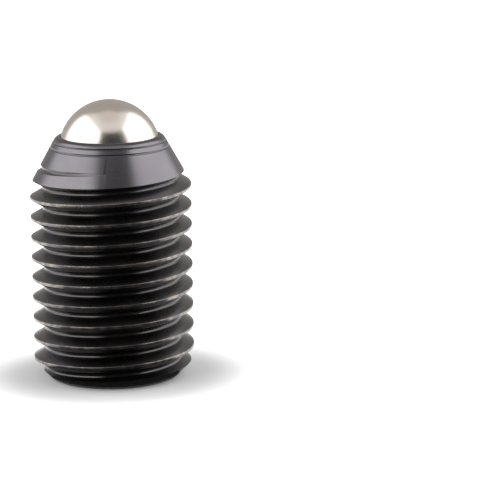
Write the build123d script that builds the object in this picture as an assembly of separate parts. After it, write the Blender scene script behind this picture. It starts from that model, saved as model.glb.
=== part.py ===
from build123d import *
import os
from itertools import pairwise
from math import ceil, cos, pi, radians, sin, sqrt, tan

os.makedirs("parts", exist_ok=True)

# A ball spring plunger: a set screw threaded over its whole length, with a hexagon socket in one
# end and, in the other, a ball that a compression spring presses against a rolled rim.
# Lengths are millimetres and angles are degrees. The origin is the centre of the socket end face,
# and +Z runs along the axis to the ball.

# Threaded body, M16 x 2
body_length = 24.0  # socket end face to the rim round the ball
thread_diameter = 15.85  # over the crests
thread_pitch = 2.0
thread_depth = 1.227
crest_flat = 0.25  # width of the flat left on each crest
thread_half_angle = 30.0  # flank to the radial direction
thread_flats = 24  # flats that draw one turn; a multiple of 4, so that the crests keep their full diameter
spare_turns = 2  # modelled past each end of the screw and trimmed off by its end faces
blank_allowance = 0.5  # radius of the turned blank past the crests, so that only its ends trim the thread
end_face_diameter = 12.6
end_chamfer_angle = 45.0  # from the axis
nose_half_angle = 29.0  # cone to the axis
lip_width = 0.66  # rolled rim, from its inner edge out to the nose cone
lip_height = 0.4
lip_bevels = 2  # bevels that draw the rolled rim's round

# Hexagon socket
key_size = 8.0  # across the flats of the key
key_clearance = 0.05
socket_depth = 5.3  # straight walls
socket_floor_angle = 30.0  # facets of the floor to the end face
countersink_diameter = 9.4
countersink_half_angle = 60.0
pilot_diameter = 5.0
pilot_depth = 6.8  # to the full diameter, without its point
drill_point_half_angle = 59.0

# Ball and its chamber
ball_diameter = 10.0
ball_clearance = 0.05  # radial running fit in the chamber and under the rim
ball_projection = 3.5  # the ball's tip above the rim, which is also its travel
web_thickness = 1.7  # from the pilot hole's point to the chamber floor

# Spring, with a closed and ground coil at each end
wire_diameter = 1.2
wire_sides = 6  # flats that draw the round wire, with the same area
coil_flats = 16  # flats that draw one turn
active_coils = 2.0
closed_coils = 0.75  # at each end
coil_clearance = 0.06  # between a closed coil and the next
spring_side_clearance = 0.45  # spring to chamber wall
spring_ball_gap = 0.08

# Places that follow from the sizes
thread_radius = thread_diameter / 2
root_radius = thread_radius - thread_depth
blank_radius = thread_radius + blank_allowance
ball_radius = ball_diameter / 2
chamber_radius = ball_radius + ball_clearance
ball_height = body_length + ball_projection - ball_radius
rim_radius = sqrt(chamber_radius**2 - (body_length - ball_height) ** 2)
lip_radius = rim_radius + lip_width
lip_base = body_length - lip_height
nose_base = lip_base - (blank_radius - lip_radius) / tan(radians(nose_half_angle))
end_chamfer_height = (blank_radius - end_face_diameter / 2) / tan(radians(end_chamfer_angle))
pilot_point = pilot_depth + pilot_diameter / 2 / tan(radians(drill_point_half_angle))
chamber_floor = pilot_point + web_thickness
spring_outer_radius = chamber_radius - spring_side_clearance
coil_radius = spring_outer_radius - wire_diameter / 2
spring_inner_radius = coil_radius - wire_diameter / 2
spring_top = ball_height - sqrt(ball_radius**2 - spring_inner_radius**2) - spring_ball_gap


def turned(outline):
    """The solid that a closed outline in X and Z makes when it is turned about the axis."""
    return revolve(Plane.XZ * make_face(outline), Axis.Z)


def around(radius, height, turn):
    """The point at that radius, after that many turns about the axis from +X."""
    return Vector(radius * cos(2 * pi * turn), radius * sin(2 * pi * turn), height)


def flat_strip(row, next_row):
    """Flat triangles that join each point of a row to the same point of the next row."""
    faces = []
    for (a, b), (c, d) in zip(pairwise(row), pairwise(next_row)):
        faces += [Face(Wire.make_polygon((a, b, d))), Face(Wire.make_polygon((a, d, c)))]
    return faces


def flat_fan(tip, row):
    """Flat triangles from a point to each step of a row."""
    return [Face(Wire.make_polygon((tip, a, b))) for a, b in pairwise(row)]


def threaded_bar():
    """A bar with the thread's section carried round it as a helix, longer than the screw at both ends."""
    root_half = (thread_pitch - crest_flat) / 2 - thread_depth * tan(radians(thread_half_angle))
    section = (
        (root_radius, -root_half),
        (root_radius, root_half),
        (thread_radius, (thread_pitch - crest_flat) / 2),
        (thread_radius, (thread_pitch + crest_flat) / 2),
        (root_radius, thread_pitch - root_half),
    )
    first_turn, last_turn = -spare_turns, ceil(body_length / thread_pitch) + spare_turns - 1
    rows = []
    for step in range(first_turn * thread_flats, last_turn * thread_flats + 1):
        turn = step / thread_flats
        rows.append([around(radius, height + turn * thread_pitch, turn) for radius, height in section])
    # Each end is one turn of the outermost root edge and the step where the section starts or stops.
    foot = [row[0] for row in rows[: thread_flats + 1]] + rows[0][-2::-1]
    head = [row[-1] for row in rows[-thread_flats - 1 :]] + rows[-1][-2:0:-1] + [rows[-thread_flats - 1][-1]]
    faces = flat_fan(Vector(0, 0, first_turn * thread_pitch), foot)
    faces += flat_fan(Vector(0, 0, (last_turn + 1) * thread_pitch), head)
    for row, next_row in pairwise(rows):
        faces += flat_strip(row, next_row)
    return Solid(Shell(faces))


def screw_blank():
    """The bar turned to its outer form: end face, chamfer, full diameter, nose cone and rolled lip."""
    side = Polyline(
        (0, 0),
        (end_face_diameter / 2, 0),
        (blank_radius, end_chamfer_height),
        (blank_radius, nose_base),
        (lip_radius, lip_base),
    )
    round_lip = TangentArc(side @ 1, (rim_radius, body_length), tangent=side % 1)
    lip = Polyline(*(round_lip @ (bevel / lip_bevels) for bevel in range(lip_bevels + 1)))
    closing = Polyline(lip @ 1, (0, body_length), (0, 0))
    return turned(side + lip + closing)


def hexagon_socket():
    """A countersunk hexagon with a faceted floor, and the pilot hole that was drilled first."""
    half_flats = (key_size + key_clearance) / 2
    inner_half_flats = pilot_diameter / 4  # the facets run on until they are well inside the pilot hole
    facet_rise = (half_flats - inner_half_flats) * tan(radians(socket_floor_angle))
    hexagon = RegularPolygon(half_flats, 6, major_radius=False)
    walls = extrude(hexagon, socket_depth)
    facets = extrude(Pos(0, 0, socket_depth) * hexagon, facet_rise, taper=90 - socket_floor_angle)
    countersink = turned(
        Polyline(
            (0, 0),
            (countersink_diameter / 2, 0),
            (0, countersink_diameter / 2 / tan(radians(countersink_half_angle))),
            close=True,
        )
    )
    pilot = turned(
        Polyline(
            (0, 0),
            (pilot_diameter / 2, 0),
            (pilot_diameter / 2, pilot_depth),
            (0, pilot_point),
            close=True,
        )
    )
    return walls + facets + countersink + pilot


def ball_chamber():
    """The bore for the spring and the ball, closed in above the ball's middle by the rolled lip."""
    wall = Polyline((0, chamber_floor), (chamber_radius, chamber_floor), (chamber_radius, ball_height))
    lip = RadiusArc(wall @ 1, (rim_radius, body_length), -chamber_radius)
    closing = Polyline(lip @ 1, (0, body_length), (0, chamber_floor))
    return turned(wall + lip + closing)


def compression_spring():
    """Closed coil, open coils and closed coil, wound as one wire and ground flat at both ends."""
    length = spring_top - chamber_floor
    closed_pitch = wire_diameter + coil_clearance
    open_pitch = (length - 2 * closed_coils * closed_pitch) / active_coils
    corner_radius = wire_diameter / 2 * sqrt(2 * pi / wire_sides / sin(2 * pi / wire_sides))
    corners = [2 * pi * (corner + 0.5) / wire_sides for corner in (*range(wire_sides), 0)]
    all_coils = active_coils + 2 * closed_coils
    steps = round(all_coils * coil_flats)
    rings = []
    for step in range(steps + 1):
        turn = all_coils * step / steps
        open_turns = min(max(turn - closed_coils, 0), active_coils)
        middle = chamber_floor + (turn - open_turns) * closed_pitch + open_turns * open_pitch
        offsets = [(corner_radius * cos(angle), corner_radius * sin(angle)) for angle in corners]
        rings.append([around(coil_radius + out, middle + up, turn) for out, up in offsets])
    faces = flat_fan(around(coil_radius, chamber_floor, 0), rings[0])
    faces += flat_fan(around(coil_radius, spring_top, all_coils), rings[-1])
    for ring, next_ring in pairwise(rings):
        faces += flat_strip(ring, next_ring)
    between_seats = Cylinder(spring_outer_radius * 2, length, align=(Align.CENTER, Align.CENTER, Align.MIN))
    return Solid(Shell(faces)) & Pos(0, 0, chamber_floor) * between_seats


threaded_body = (screw_blank() & threaded_bar()) - ball_chamber() - hexagon_socket()
ball = Pos(0, 0, ball_height) * Sphere(ball_radius)
spring = compression_spring()

export_step(threaded_body, "parts/threaded_body.step")
export_step(ball, "parts/ball.step")
export_step(spring, "parts/spring.step")
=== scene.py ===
import math

import bmesh
import bpy
from mathutils import Matrix, Vector


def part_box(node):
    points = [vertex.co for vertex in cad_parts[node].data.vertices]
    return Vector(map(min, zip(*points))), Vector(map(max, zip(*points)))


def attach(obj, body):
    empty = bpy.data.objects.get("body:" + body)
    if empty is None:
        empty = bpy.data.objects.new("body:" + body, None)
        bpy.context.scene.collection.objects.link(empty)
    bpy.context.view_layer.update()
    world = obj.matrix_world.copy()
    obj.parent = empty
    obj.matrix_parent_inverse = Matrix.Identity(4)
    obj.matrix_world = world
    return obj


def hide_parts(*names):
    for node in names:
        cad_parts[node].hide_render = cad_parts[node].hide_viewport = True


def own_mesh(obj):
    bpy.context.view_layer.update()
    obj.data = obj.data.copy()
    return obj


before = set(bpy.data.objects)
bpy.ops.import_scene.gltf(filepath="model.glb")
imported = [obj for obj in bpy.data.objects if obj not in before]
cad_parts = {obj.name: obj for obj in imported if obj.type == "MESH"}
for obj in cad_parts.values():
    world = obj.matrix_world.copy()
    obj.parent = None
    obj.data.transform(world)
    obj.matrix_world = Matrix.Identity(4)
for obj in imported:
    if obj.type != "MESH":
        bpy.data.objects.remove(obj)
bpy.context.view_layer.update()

# Threaded body. One bar of steel, turned to its outer form with a coned nose, thread-rolled over its
# whole length, drilled and broached for the key, blackened, and closed over the ball by rolling its
# thin lip in.
mm = 0.001
merge_distance = 0.0001 * mm
steps_per_turn = 128
body_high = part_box("threaded_body")[1]
ball_low, ball_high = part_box("ball")
spring_low, spring_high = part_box("spring")
body_length = body_high.z
crest_radius = body_high.x
ball_radius = (ball_high.z - ball_low.z) / 2
ball_height = (ball_high.z + ball_low.z) / 2


def arc(centre, radius, start, end, steps):
    """Points along an arc in the plane of radius and height; angles in degrees from outwards to up."""
    angles = [math.radians(start + (end - start) * i / steps) for i in range(steps + 1)]
    return [(centre[0] + radius * math.cos(a), centre[1] + radius * math.sin(a)) for a in angles]


def outline_mesh(points):
    """A wire in the plane of radius and height, ready to be spun about the axis."""
    bm = bmesh.new()
    verts = [bm.verts.new((r, 0, z)) for r, z in points]
    for a, b in zip(verts, verts[1:]):
        bm.edges.new((a, b))
    return bm


def turned(points, steps):
    """A solid of revolution; the outline starts and ends on the axis."""
    bm = outline_mesh(points)
    bmesh.ops.spin(
        bm, geom=bm.verts[:] + bm.edges[:], cent=(0, 0, 0), axis=(0, 0, 1), angle=math.tau,
        steps=steps, use_merge=True,
    )
    bmesh.ops.remove_doubles(bm, verts=bm.verts, dist=merge_distance)
    bmesh.ops.recalc_face_normals(bm, faces=bm.faces)
    return bm


def trimmed(bm, low, high):
    """Cuts a mesh off flat below one height and above another, and closes the cuts."""
    for height, up in ((low, -1), (high, 1)):
        cut = bmesh.ops.bisect_plane(
            bm, geom=bm.verts[:] + bm.edges[:] + bm.faces[:], plane_co=(0, 0, height),
            plane_no=(0, 0, up), clear_outer=True,
        )
        rim = [part for part in cut["geom_cut"] if isinstance(part, bmesh.types.BMEdge)]
        bmesh.ops.contextual_create(bm, geom=rim)
    bmesh.ops.recalc_face_normals(bm, faces=bm.faces)


def shade(obj, sharp_angle):
    """Smooth shading but for the edges sharper than that angle."""
    for polygon in obj.data.polygons:
        polygon.use_smooth = True
    obj.data.set_sharp_from_angle(angle=math.radians(sharp_angle))


def piece(name, bm, sharp_angle=30.0):
    """The finished mesh as an object."""
    mesh = bpy.data.meshes.new(name)
    bm.to_mesh(mesh)
    bm.free()
    obj = bpy.data.objects.new(name, mesh)
    bpy.context.scene.collection.objects.link(obj)
    shade(obj, sharp_angle)
    return obj


def boolean(target, tool, operation):
    """Cuts or trims the target with the tool, and deletes the tool."""
    modifier = target.modifiers.new(operation, "BOOLEAN")
    modifier.operation = operation
    modifier.solver = "EXACT"
    modifier.object = tool
    bpy.context.view_layer.update()
    shaped = bpy.data.meshes.new_from_object(target.evaluated_get(bpy.context.evaluated_depsgraph_get()))
    target.modifiers.remove(modifier)
    target.data = shaped
    bpy.data.objects.remove(tool)


# The bar's outer form and its bores, as one outline from the pilot hole round to the chamber's floor.
end_face_radius = 6.3 * mm
edge_break = 0.06 * mm
countersink_radius = 4.7 * mm
countersink_angle = 60.0
pilot_radius = 2.5 * mm
pilot_depth = 6.8 * mm
drill_point_angle = 59.0
pilot_point = pilot_depth + pilot_radius / math.tan(math.radians(drill_point_angle))
countersink_depth = (countersink_radius - pilot_radius) / math.tan(math.radians(countersink_angle))
chamber_clearance = 0.05 * mm
chamber_radius = ball_radius + chamber_clearance
chamber_corner = 0.3 * mm
chamber_floor = spring_low.z
rim_angle = math.degrees(math.asin((body_length - ball_height) / chamber_radius))
rim_radius = math.sqrt(chamber_radius**2 - (body_length - ball_height) ** 2)
nose_angle = 29.0
lip_width = 0.66 * mm
lip_height = 0.4 * mm
lip_radius = rim_radius + lip_width
lip_base = body_length - lip_height
thread_allowance = 0.2 * mm
blank_radius = crest_radius + thread_allowance
nose_base = lip_base - (blank_radius - lip_radius) / math.tan(math.radians(nose_angle))
ring_form = ((1, 0), (0.7, 0.8), (0.45, 1), (0.2, 0.6), (0, 0))  # shares of the width and depth


def nose_point(slant, depth=0.0):
    """A point on the nose cone, by its distance down the slant from the lip and its depth below it."""
    along, across = math.sin(math.radians(nose_angle)), math.cos(math.radians(nose_angle))
    return (lip_radius + slant * along - depth * across, lip_base - slant * across - depth * along)


def turned_ring(slant, width, depth):
    """A shallow groove left by the turning tool, round the nose cone."""
    return [nose_point(slant + share * width, low * depth) for share, low in ring_form]


# The lip's arc leaves the cone at a tangent and ends at the rim.
lip_chord = Vector((rim_radius - lip_radius, lip_height))
lip_turn = 2 * (math.degrees(math.atan2(lip_chord.y, lip_chord.x)) - (90 + nose_angle))
lip_arc_radius = lip_chord.length / 2 / math.sin(math.radians(lip_turn / 2))
corner_centre = (chamber_radius - chamber_corner, chamber_floor + chamber_corner)
blank_outline = [
    (0, pilot_point),
    (pilot_radius, pilot_depth),
    (pilot_radius, countersink_depth),
    (countersink_radius, 0),
    (end_face_radius - edge_break, 0),
    (end_face_radius + edge_break / 2, edge_break / 2),
    (blank_radius, blank_radius - end_face_radius),
    (blank_radius, nose_base),
    *turned_ring(slant=0.62 * mm, width=0.24 * mm, depth=0.06 * mm),
    *turned_ring(slant=0.0, width=0.2 * mm, depth=0.07 * mm),
    *arc(nose_point(0, lip_arc_radius), lip_arc_radius, nose_angle, nose_angle + lip_turn, 8),
    *arc((0, ball_height), chamber_radius, rim_angle, 0, 10)[1:],
    *arc(corner_centre, chamber_corner, 0, -90, 6),
    (0, chamber_floor),
]
threaded_body = piece("threaded_body_screw", turned(blank_outline, 2 * steps_per_turn))

# The broached hexagon: straight walls, and a floor of six facets that run down into the pilot hole.
key_half_flats = 4.025 * mm
socket_depth = 5.3 * mm
socket_floor_angle = 30.0
inner_half_flats = 1.25 * mm
mouth_margin = 1.0 * mm
corner_to_flat = math.radians(30)
key_corner_radius = key_half_flats / math.cos(corner_to_flat)
facet_rise = (key_half_flats - inner_half_flats) * math.tan(math.radians(socket_floor_angle))
inner_scale = inner_half_flats / key_half_flats
hexagon = bmesh.new()
bmesh.ops.create_cone(
    hexagon, cap_ends=True, segments=6, radius1=key_corner_radius, radius2=key_corner_radius,
    depth=socket_depth + mouth_margin,
)
flats_front = Matrix.Rotation(corner_to_flat, 3, "Z")
bmesh.ops.rotate(hexagon, verts=hexagon.verts, cent=(0, 0, 0), matrix=flats_front)
bmesh.ops.translate(hexagon, verts=hexagon.verts, vec=(0, 0, (socket_depth - mouth_margin) / 2))
inner_end = max(hexagon.faces, key=lambda face: face.calc_center_median().z)
inner_end = bmesh.ops.extrude_discrete_faces(hexagon, faces=[inner_end])["faces"][0]
bmesh.ops.translate(hexagon, verts=inner_end.verts, vec=(0, 0, facet_rise))
bmesh.ops.scale(hexagon, verts=inner_end.verts, vec=(inner_scale, inner_scale, 1))
boolean(threaded_body, piece("hexagon", hexagon), "DIFFERENCE")

# The thread: one pitch of its section, from root to root, carried round the axis as a helix.
thread_pitch = 2.0 * mm
thread_depth = 1.227 * mm
thread_half_angle = 30.0
thread_root_round = 0.289 * mm
crest_edge_round = 0.05 * mm
spare_turns = 2
spare_pitches = 0.7  # of rod left past each end, for the end faces to trim
flank_slope = math.tan(math.radians(thread_half_angle))
root_radius = crest_radius - thread_depth
root_centre = (root_radius + thread_root_round, 0)
root_arc = arc(root_centre, thread_root_round, 180, 90 + thread_half_angle, 6)
flank_foot_radius, flank_foot = root_arc[-1]
crest_edge = flank_foot + (crest_radius - flank_foot_radius) * flank_slope
crest_centre = (crest_radius - crest_edge_round, crest_edge + crest_edge_round * flank_slope)
crest_arc = arc(crest_centre, crest_edge_round, thread_half_angle - 90, 0, 4)
half_section = root_arc + crest_arc
section = half_section + [(r, thread_pitch - z) for r, z in reversed(half_section)]
rod = outline_mesh([(r, z - spare_turns * thread_pitch) for r, z in section])
bmesh.ops.spin(
    rod, geom=rod.verts[:] + rod.edges[:], cent=(0, 0, 0), axis=(0, 0, 1), angle=math.tau,
    dvec=(0, 0, thread_pitch / steps_per_turn), steps=steps_per_turn, use_merge=False,
)
one_turn = rod.verts[:] + rod.edges[:] + rod.faces[:]
for turn in range(1, math.ceil(body_length / thread_pitch) + 2 * spare_turns):
    next_turn = bmesh.ops.duplicate(rod, geom=one_turn)["geom"]
    turn_verts = [part for part in next_turn if isinstance(part, bmesh.types.BMVert)]
    bmesh.ops.translate(rod, verts=turn_verts, vec=(0, 0, turn * thread_pitch))
bmesh.ops.remove_doubles(rod, verts=rod.verts, dist=merge_distance)
trimmed(rod, -spare_pitches * thread_pitch, body_length + spare_pitches * thread_pitch)
boolean(threaded_body, piece("thread", rod), "INTERSECT")
shade(threaded_body, 14.0)


class Nodes:
    """The node tree of a material or of the world, with short calls to add nodes and wire them."""

    def __init__(self, owner):
        owner.use_nodes = True
        self.tree = owner.node_tree

    def wire(self, socket, value):
        if isinstance(value, bpy.types.NodeSocket):
            self.tree.links.new(value, socket)
        else:
            socket.default_value = value

    def add(self, kind, inputs=(), **settings):
        node = self.tree.nodes.new(kind)
        for key, value in settings.items():
            setattr(node, key, value)
        for key, value in dict(inputs).items():
            self.wire(node.inputs[key], value)
        return node

    def math(self, operation, *values):
        return self.add("ShaderNodeMath", dict(enumerate(values)), operation=operation).outputs[0]

    def noise(self, vector, scale, detail):
        inputs = {"Vector": vector, "Scale": scale, "Detail": detail}
        return self.add("ShaderNodeTexNoise", inputs).outputs["Fac"]

    def smooth_step(self, value, start, end, low=0.0, high=1.0):
        inputs = {"Value": value, "From Min": start, "From Max": end, "To Min": low, "To Max": high}
        return self.add("ShaderNodeMapRange", inputs, interpolation_type="SMOOTHSTEP").outputs["Result"]

    def ramp(self, value, *stops):
        """Grey levels along a ramp, as pairs of position and level."""
        node = self.add("ShaderNodeValToRGB", {"Fac": value})
        for element, (position, grey) in zip(node.color_ramp.elements, stops):
            element.position = position
            element.color = (grey, grey, grey, 1)
        return node.outputs["Color"]

    def mixed(self, factor, first, second):
        """A colour between two others."""
        return self.add("ShaderNodeMix", {0: factor, 6: first, 7: second}, data_type="RGBA").outputs[2]

    def metal(self, colour, roughness, normal=None):
        """Wires the material's shader as bare or blackened metal."""
        shader = self.tree.nodes["Principled BSDF"]
        self.wire(shader.inputs["Base Color"], colour)
        self.wire(shader.inputs["Roughness"], roughness)
        shader.inputs["Metallic"].default_value = 1.0
        if normal:
            self.wire(shader.inputs["Normal"], normal)

    def surface(self, shader):
        """Wires another shader to the material's surface, in place of the standard one."""
        self.tree.nodes.remove(self.tree.nodes["Principled BSDF"])
        self.wire(self.tree.nodes["Material Output"].inputs["Surface"], shader)


# Black oxide. The turned faces keep fine rings from the tool, the rolled flanks are duller, and the
# crests are rubbed down to brownish steel in places. The darker colour of the flanks is partly painted
# shade, laid on by depth, so the socket and the chamber get it too.
turned_black = (0.150, 0.142, 0.152, 1)
# The rolled colour is partly painted shade in the hollows.
rolled_black_and_shade = (0.082, 0.079, 0.077, 1)
stain_black = (0.11, 0.10, 0.12, 1)
rubbed_steel = (0.30, 0.265, 0.22, 1)
rubbed_depth = 0.02 * mm
rolled_and_shaded_depth = 0.10 * mm
tool_mark = 0.01 * mm
black_steel = bpy.data.materials.new("black_steel")
black = Nodes(black_steel)
place = black.add("ShaderNodeTexCoord").outputs["Object"]
height = black.add("ShaderNodeSeparateXYZ", {0: place}).outputs["Z"]
flat_place = black.add("ShaderNodeVectorMath", {0: place, 1: (1, 1, 0)}, operation="MULTIPLY").outputs[0]
radius = black.add("ShaderNodeVectorMath", {0: flat_place}, operation="LENGTH").outputs["Value"]

# How deep a point lies below the blank's own surface tells crest from flank. The colour darkens with
# that depth: painted shade in the thread's grooves, the socket and the chamber, on top of the duller rolled
# flank.
nose_slope = math.tan(math.radians(nose_angle))
nose_radius = black.math("MULTIPLY_ADD", height, -nose_slope, lip_radius + lip_base * nose_slope)
foot_radius = black.math("ADD", height, end_face_radius)
bar_radius = black.math("MINIMUM", black.math("MINIMUM", nose_radius, foot_radius), crest_radius)
depth = black.math("SUBTRACT", bar_radius, radius)
flank_and_hollow_shade = black.smooth_step(depth, rubbed_depth, rolled_and_shaded_depth)
full_bar = black.math("GREATER_THAN", bar_radius, crest_radius - tool_mark)
crest = black.math("MULTIPLY", black.math("SUBTRACT", 1.0, flank_and_hollow_shade), full_bar)

rings_at = black.add("ShaderNodeCombineXYZ", {"X": radius, "Y": height}).outputs[0]
rings = black.noise(rings_at, scale=9000.0, detail=2.0)
patches = black.noise(place, scale=1400.0, detail=3.0)
mottle = black.noise(place, scale=260.0, detail=3.0)
rubbed = black.math("MULTIPLY", crest, black.ramp(patches, (0.40, 0.0), (0.62, 1.0)))
stain = black.ramp(mottle, (0.40, 0.0), (0.65, 0.35))
oxide_and_shade = black.mixed(stain, black.mixed(flank_and_hollow_shade, turned_black, rolled_black_and_shade), stain_black)
ring_bump = black.add("ShaderNodeBump", {"Strength": 0.25, "Distance": tool_mark, "Height": rings})
black.metal(
    colour=black.mixed(rubbed, oxide_and_shade, rubbed_steel),
    roughness=black.math("MULTIPLY_ADD", mottle, 0.16, 0.20),
    normal=ring_bump.outputs[0],
)
threaded_body.data.materials.clear()
threaded_body.data.materials.append(black_steel)
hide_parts("threaded_body")
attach(threaded_body, "screw")

# Ball. A ground and polished ball of stainless steel, held in by the rolled lip and free to sink. Its
# polish has a faint warm haze.
dull_polish = (0.62, 0.565, 0.515, 1)
bright_polish = (0.68, 0.625, 0.58, 1)
ball_mesh = bmesh.new()
bmesh.ops.create_uvsphere(ball_mesh, u_segments=128, v_segments=64, radius=ball_radius)
bmesh.ops.translate(ball_mesh, verts=ball_mesh.verts, vec=(0, 0, ball_height))
ball = piece("ball_polished", ball_mesh, sharp_angle=180.0)
ball_steel = bpy.data.materials.new("ball_steel")
polished = Nodes(ball_steel)
place = polished.add("ShaderNodeTexCoord").outputs["Object"]
haze = polished.noise(place, scale=420.0, detail=4.0)
polished.metal(
    colour=polished.mixed(haze, dull_polish, bright_polish),
    roughness=polished.math("MULTIPLY_ADD", haze, 0.10, 0.19),
)
ball.data.materials.append(ball_steel)
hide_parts("ball")
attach(ball, "ball")

# Spring. Round stainless wire, drawn through a die that leaves fine marks on it, and coiled with its end
# coils closed and ground flat on their seats.
wire_radius = 0.6 * mm
wire_sides = 16
coil_radius = 4.0 * mm
coil_steps = 48
closed_coils = 0.75
active_coils = 2.0
closed_pitch = 1.26 * mm
spring_length = spring_high.z - spring_low.z
open_pitch = (spring_length - 2 * closed_coils * closed_pitch) / active_coils
dull_wire = (0.44, 0.43, 0.41, 1)
bright_wire = (0.56, 0.55, 0.53, 1)
wire = bmesh.new()
bmesh.ops.create_circle(wire, cap_ends=False, segments=wire_sides, radius=wire_radius)
upright = Matrix.Rotation(math.radians(90), 3, "X")
bmesh.ops.rotate(wire, verts=wire.verts, cent=(0, 0, 0), matrix=upright)
bmesh.ops.translate(wire, verts=wire.verts, vec=(coil_radius, 0, spring_low.z))
bmesh.ops.contextual_create(wire, geom=wire.edges[:])
wire_end = wire.faces[:] + wire.edges[:] + wire.verts[:]
for coils, pitch in ((closed_coils, closed_pitch), (active_coils, open_pitch), (closed_coils, closed_pitch)):
    steps = int(coil_steps * coils)
    coiled = bmesh.ops.spin(
        wire, geom=wire_end, cent=(0, 0, 0), axis=(0, 0, 1), angle=math.tau * coils,
        dvec=(0, 0, pitch * coils / steps), steps=steps, use_merge=False,
    )
    wire_end = coiled["geom_last"]
bmesh.ops.remove_doubles(wire, verts=wire.verts, dist=merge_distance)
bmesh.ops.recalc_face_normals(wire, faces=wire.faces)
trimmed(wire, spring_low.z, spring_high.z)
spring = piece("spring_wire", wire, sharp_angle=40.0)
spring_steel = bpy.data.materials.new("spring_steel")
drawn = Nodes(spring_steel)
place = drawn.add("ShaderNodeTexCoord").outputs["Object"]
die_marks = drawn.noise(place, scale=2500.0, detail=3.0)
drawn.metal(
    colour=drawn.mixed(die_marks, dull_wire, bright_wire),
    roughness=drawn.math("MULTIPLY_ADD", die_marks, 0.16, 0.22),
)
spring.data.materials.append(spring_steel)
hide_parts("spring")
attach(spring, "screw")
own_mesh(spring)

# Floor. A plain white sheet. Only the soft shadow round the plunger's foot shows on it: further out the
# sheet glows, so that it stays as white as the room. Near the foot the glow fades away, which darkens
# the sheet there as a painted shadow on top of the real one.
paper_white = (0.82, 0.82, 0.82, 1)
glow_start = 8.5 * mm
painted_shadow_reach = 19.0 * mm
near_glow = 0.02
far_glow = 0.95
floor_mesh = bmesh.new()
bmesh.ops.create_grid(floor_mesh, x_segments=1, y_segments=1, size=3.0)
floor = piece("floor", floor_mesh)
white_floor = bpy.data.materials.new("white_floor")
white = Nodes(white_floor)
place = white.add("ShaderNodeTexCoord").outputs["Object"]
from_axis = white.add("ShaderNodeVectorMath", {0: place}, operation="LENGTH").outputs["Value"]
# Painted shadow: the glow is weak near the foot and full past the reach, so the sheet is darker round the
# foot.
far_out = white.smooth_step(from_axis, glow_start, painted_shadow_reach, near_glow, far_glow)
paper = white.add("ShaderNodeBsdfDiffuse", {"Color": paper_white}).outputs[0]
glow = white.add("ShaderNodeEmission", {"Color": (1, 1, 1, 1), "Strength": far_out}).outputs[0]
white.surface(white.add("ShaderNodeAddShader", {0: paper, 1: glow}).outputs[0])
floor.data.materials.append(white_floor)

# Lights. Two large softboxes at the sides and a white room. Cards that only reflections see stand for
# the dark round the camera and for the greyer ceiling and back wall. A dark card on the floor round the
# foot is painted shade: reflections see a dark floor there in place of the white sheet.
aim = Vector((0, 0, 18 * mm))
softbox_elevation = 33
softbox_distance = 0.40
softbox_height = 0.40
softbox_radiance = 1.5
card_distance = 0.150


def around(azimuth, elevation):
    """The direction seen from the plunger, by its azimuth from the camera's side and its elevation."""
    a, e = math.radians(azimuth), math.radians(elevation)
    return Vector((math.sin(a) * math.cos(e), -math.cos(a) * math.cos(e), math.sin(e)))


def softbox(name, azimuth, width):
    """A rectangular lamp that faces the plunger."""
    lamp = bpy.data.lights.new(name, "AREA")
    lamp.shape = "RECTANGLE"
    lamp.size, lamp.size_y = width, softbox_height
    lamp.energy = softbox_radiance * math.pi * width * softbox_height
    obj = bpy.data.objects.new(name, lamp)
    bpy.context.scene.collection.objects.link(obj)
    direction = around(azimuth, softbox_elevation)
    obj.location = aim + direction * softbox_distance
    obj.rotation_euler = (-direction).to_track_quat("-Z", "Y").to_euler()


def card(name, outline, azimuths, colour):
    """A card turned about the plunger's axis between two azimuths, which only reflections see."""
    bm = outline_mesh(outline)
    start, end = (math.radians(azimuth - 90) for azimuth in azimuths)
    bmesh.ops.rotate(bm, verts=bm.verts, cent=(0, 0, 0), matrix=Matrix.Rotation(start, 3, "Z"))
    bmesh.ops.spin(
        bm, geom=bm.verts[:] + bm.edges[:], cent=(0, 0, 0), axis=(0, 0, 1), angle=end - start,
        steps=32, use_merge=False,
    )
    obj = piece(name, bm)
    paint = bpy.data.materials.new(name)
    nodes = Nodes(paint)
    nodes.surface(nodes.add("ShaderNodeEmission", {"Color": (*colour, 1), "Strength": 1.0}).outputs[0])
    obj.data.materials.append(paint)
    obj.visible_camera = False
    obj.visible_diffuse = False
    obj.visible_shadow = False


def upright_arc(low, high, steps):
    """A card's outline, from one elevation to another."""
    return arc((0, aim.z), card_distance, low, high, steps)


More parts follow.
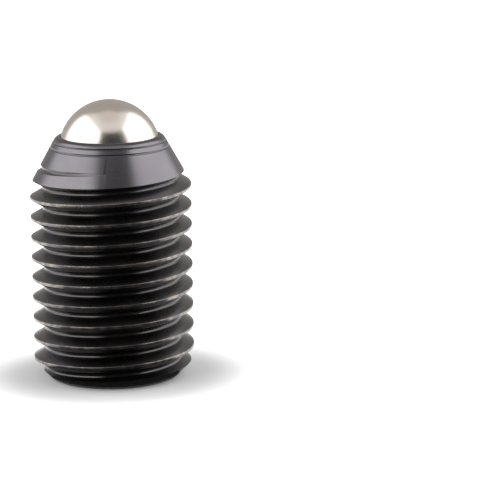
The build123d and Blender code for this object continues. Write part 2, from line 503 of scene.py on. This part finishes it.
softbox("left_softbox", azimuth=-78, width=0.75)
softbox("right_softbox", azimuth=90, width=0.65)
dark = (0.03, 0.03, 0.03)
# Painted shade on the floor in front, seen only in reflections.
floor_shade_outline = [(6.5 * mm, 0.05 * mm), (card_distance, 0.05 * mm)]
card("camera_side", upright_arc(-6.8, 50, 12), (-26, 45), dark)
card("painted_floor_shade", floor_shade_outline, (-75, 75), dark)
card("back_wall", upright_arc(-6, 72, 16), (135, 230), (0.5, 0.48, 0.46))
card("ceiling", upright_arc(72, 90, 6), (0, 360), (0.85, 0.80, 0.75))

# The room shows as white to the camera and in reflections, and lights the plunger more softly.
room_white = 1.0
room_light = 0.5
white_room = bpy.data.worlds.new("white_room")
bpy.context.scene.world = white_room
room = Nodes(white_room)
rays = room.add("ShaderNodeLightPath").outputs
shown = room.math("MAXIMUM", rays["Is Camera Ray"], rays["Is Glossy Ray"])
shown = room.math("MAXIMUM", shown, rays["Is Transmission Ray"])
strength = room.add("ShaderNodeMapRange", {"Value": shown, "To Min": room_light, "To Max": room_white})
background = room.tree.nodes["Background"]
background.inputs["Color"].default_value = (1, 1, 1, 1)
room.wire(background.inputs["Strength"], strength.outputs[0])

# Camera. Level with the upper half of the plunger, well back, a little above it.
camera_elevation = math.radians(12.27)
camera_distance = 0.3006
look_height = 12 * mm
pan, tilt, roll = 2.459, -12.036, -0.836
camera_data = bpy.data.cameras.new("camera")
camera_data.lens = 228.8
camera_data.sensor_width = 36
camera_data.clip_start = 0.01
camera = bpy.data.objects.new("camera", camera_data)
bpy.context.scene.collection.objects.link(camera)
camera.location = (
    0,
    -camera_distance * math.cos(camera_elevation),
    camera_distance * math.sin(camera_elevation) + look_height,
)
camera.rotation_euler = (
    Matrix.Rotation(math.radians(-pan), 3, "Z")
    @ Matrix.Rotation(math.radians(90 + tilt), 3, "X")
    @ Matrix.Rotation(math.radians(roll), 3, "Z")
).to_euler()
bpy.context.scene.camera = camera
bpy.context.scene.view_settings.view_transform = "Standard"
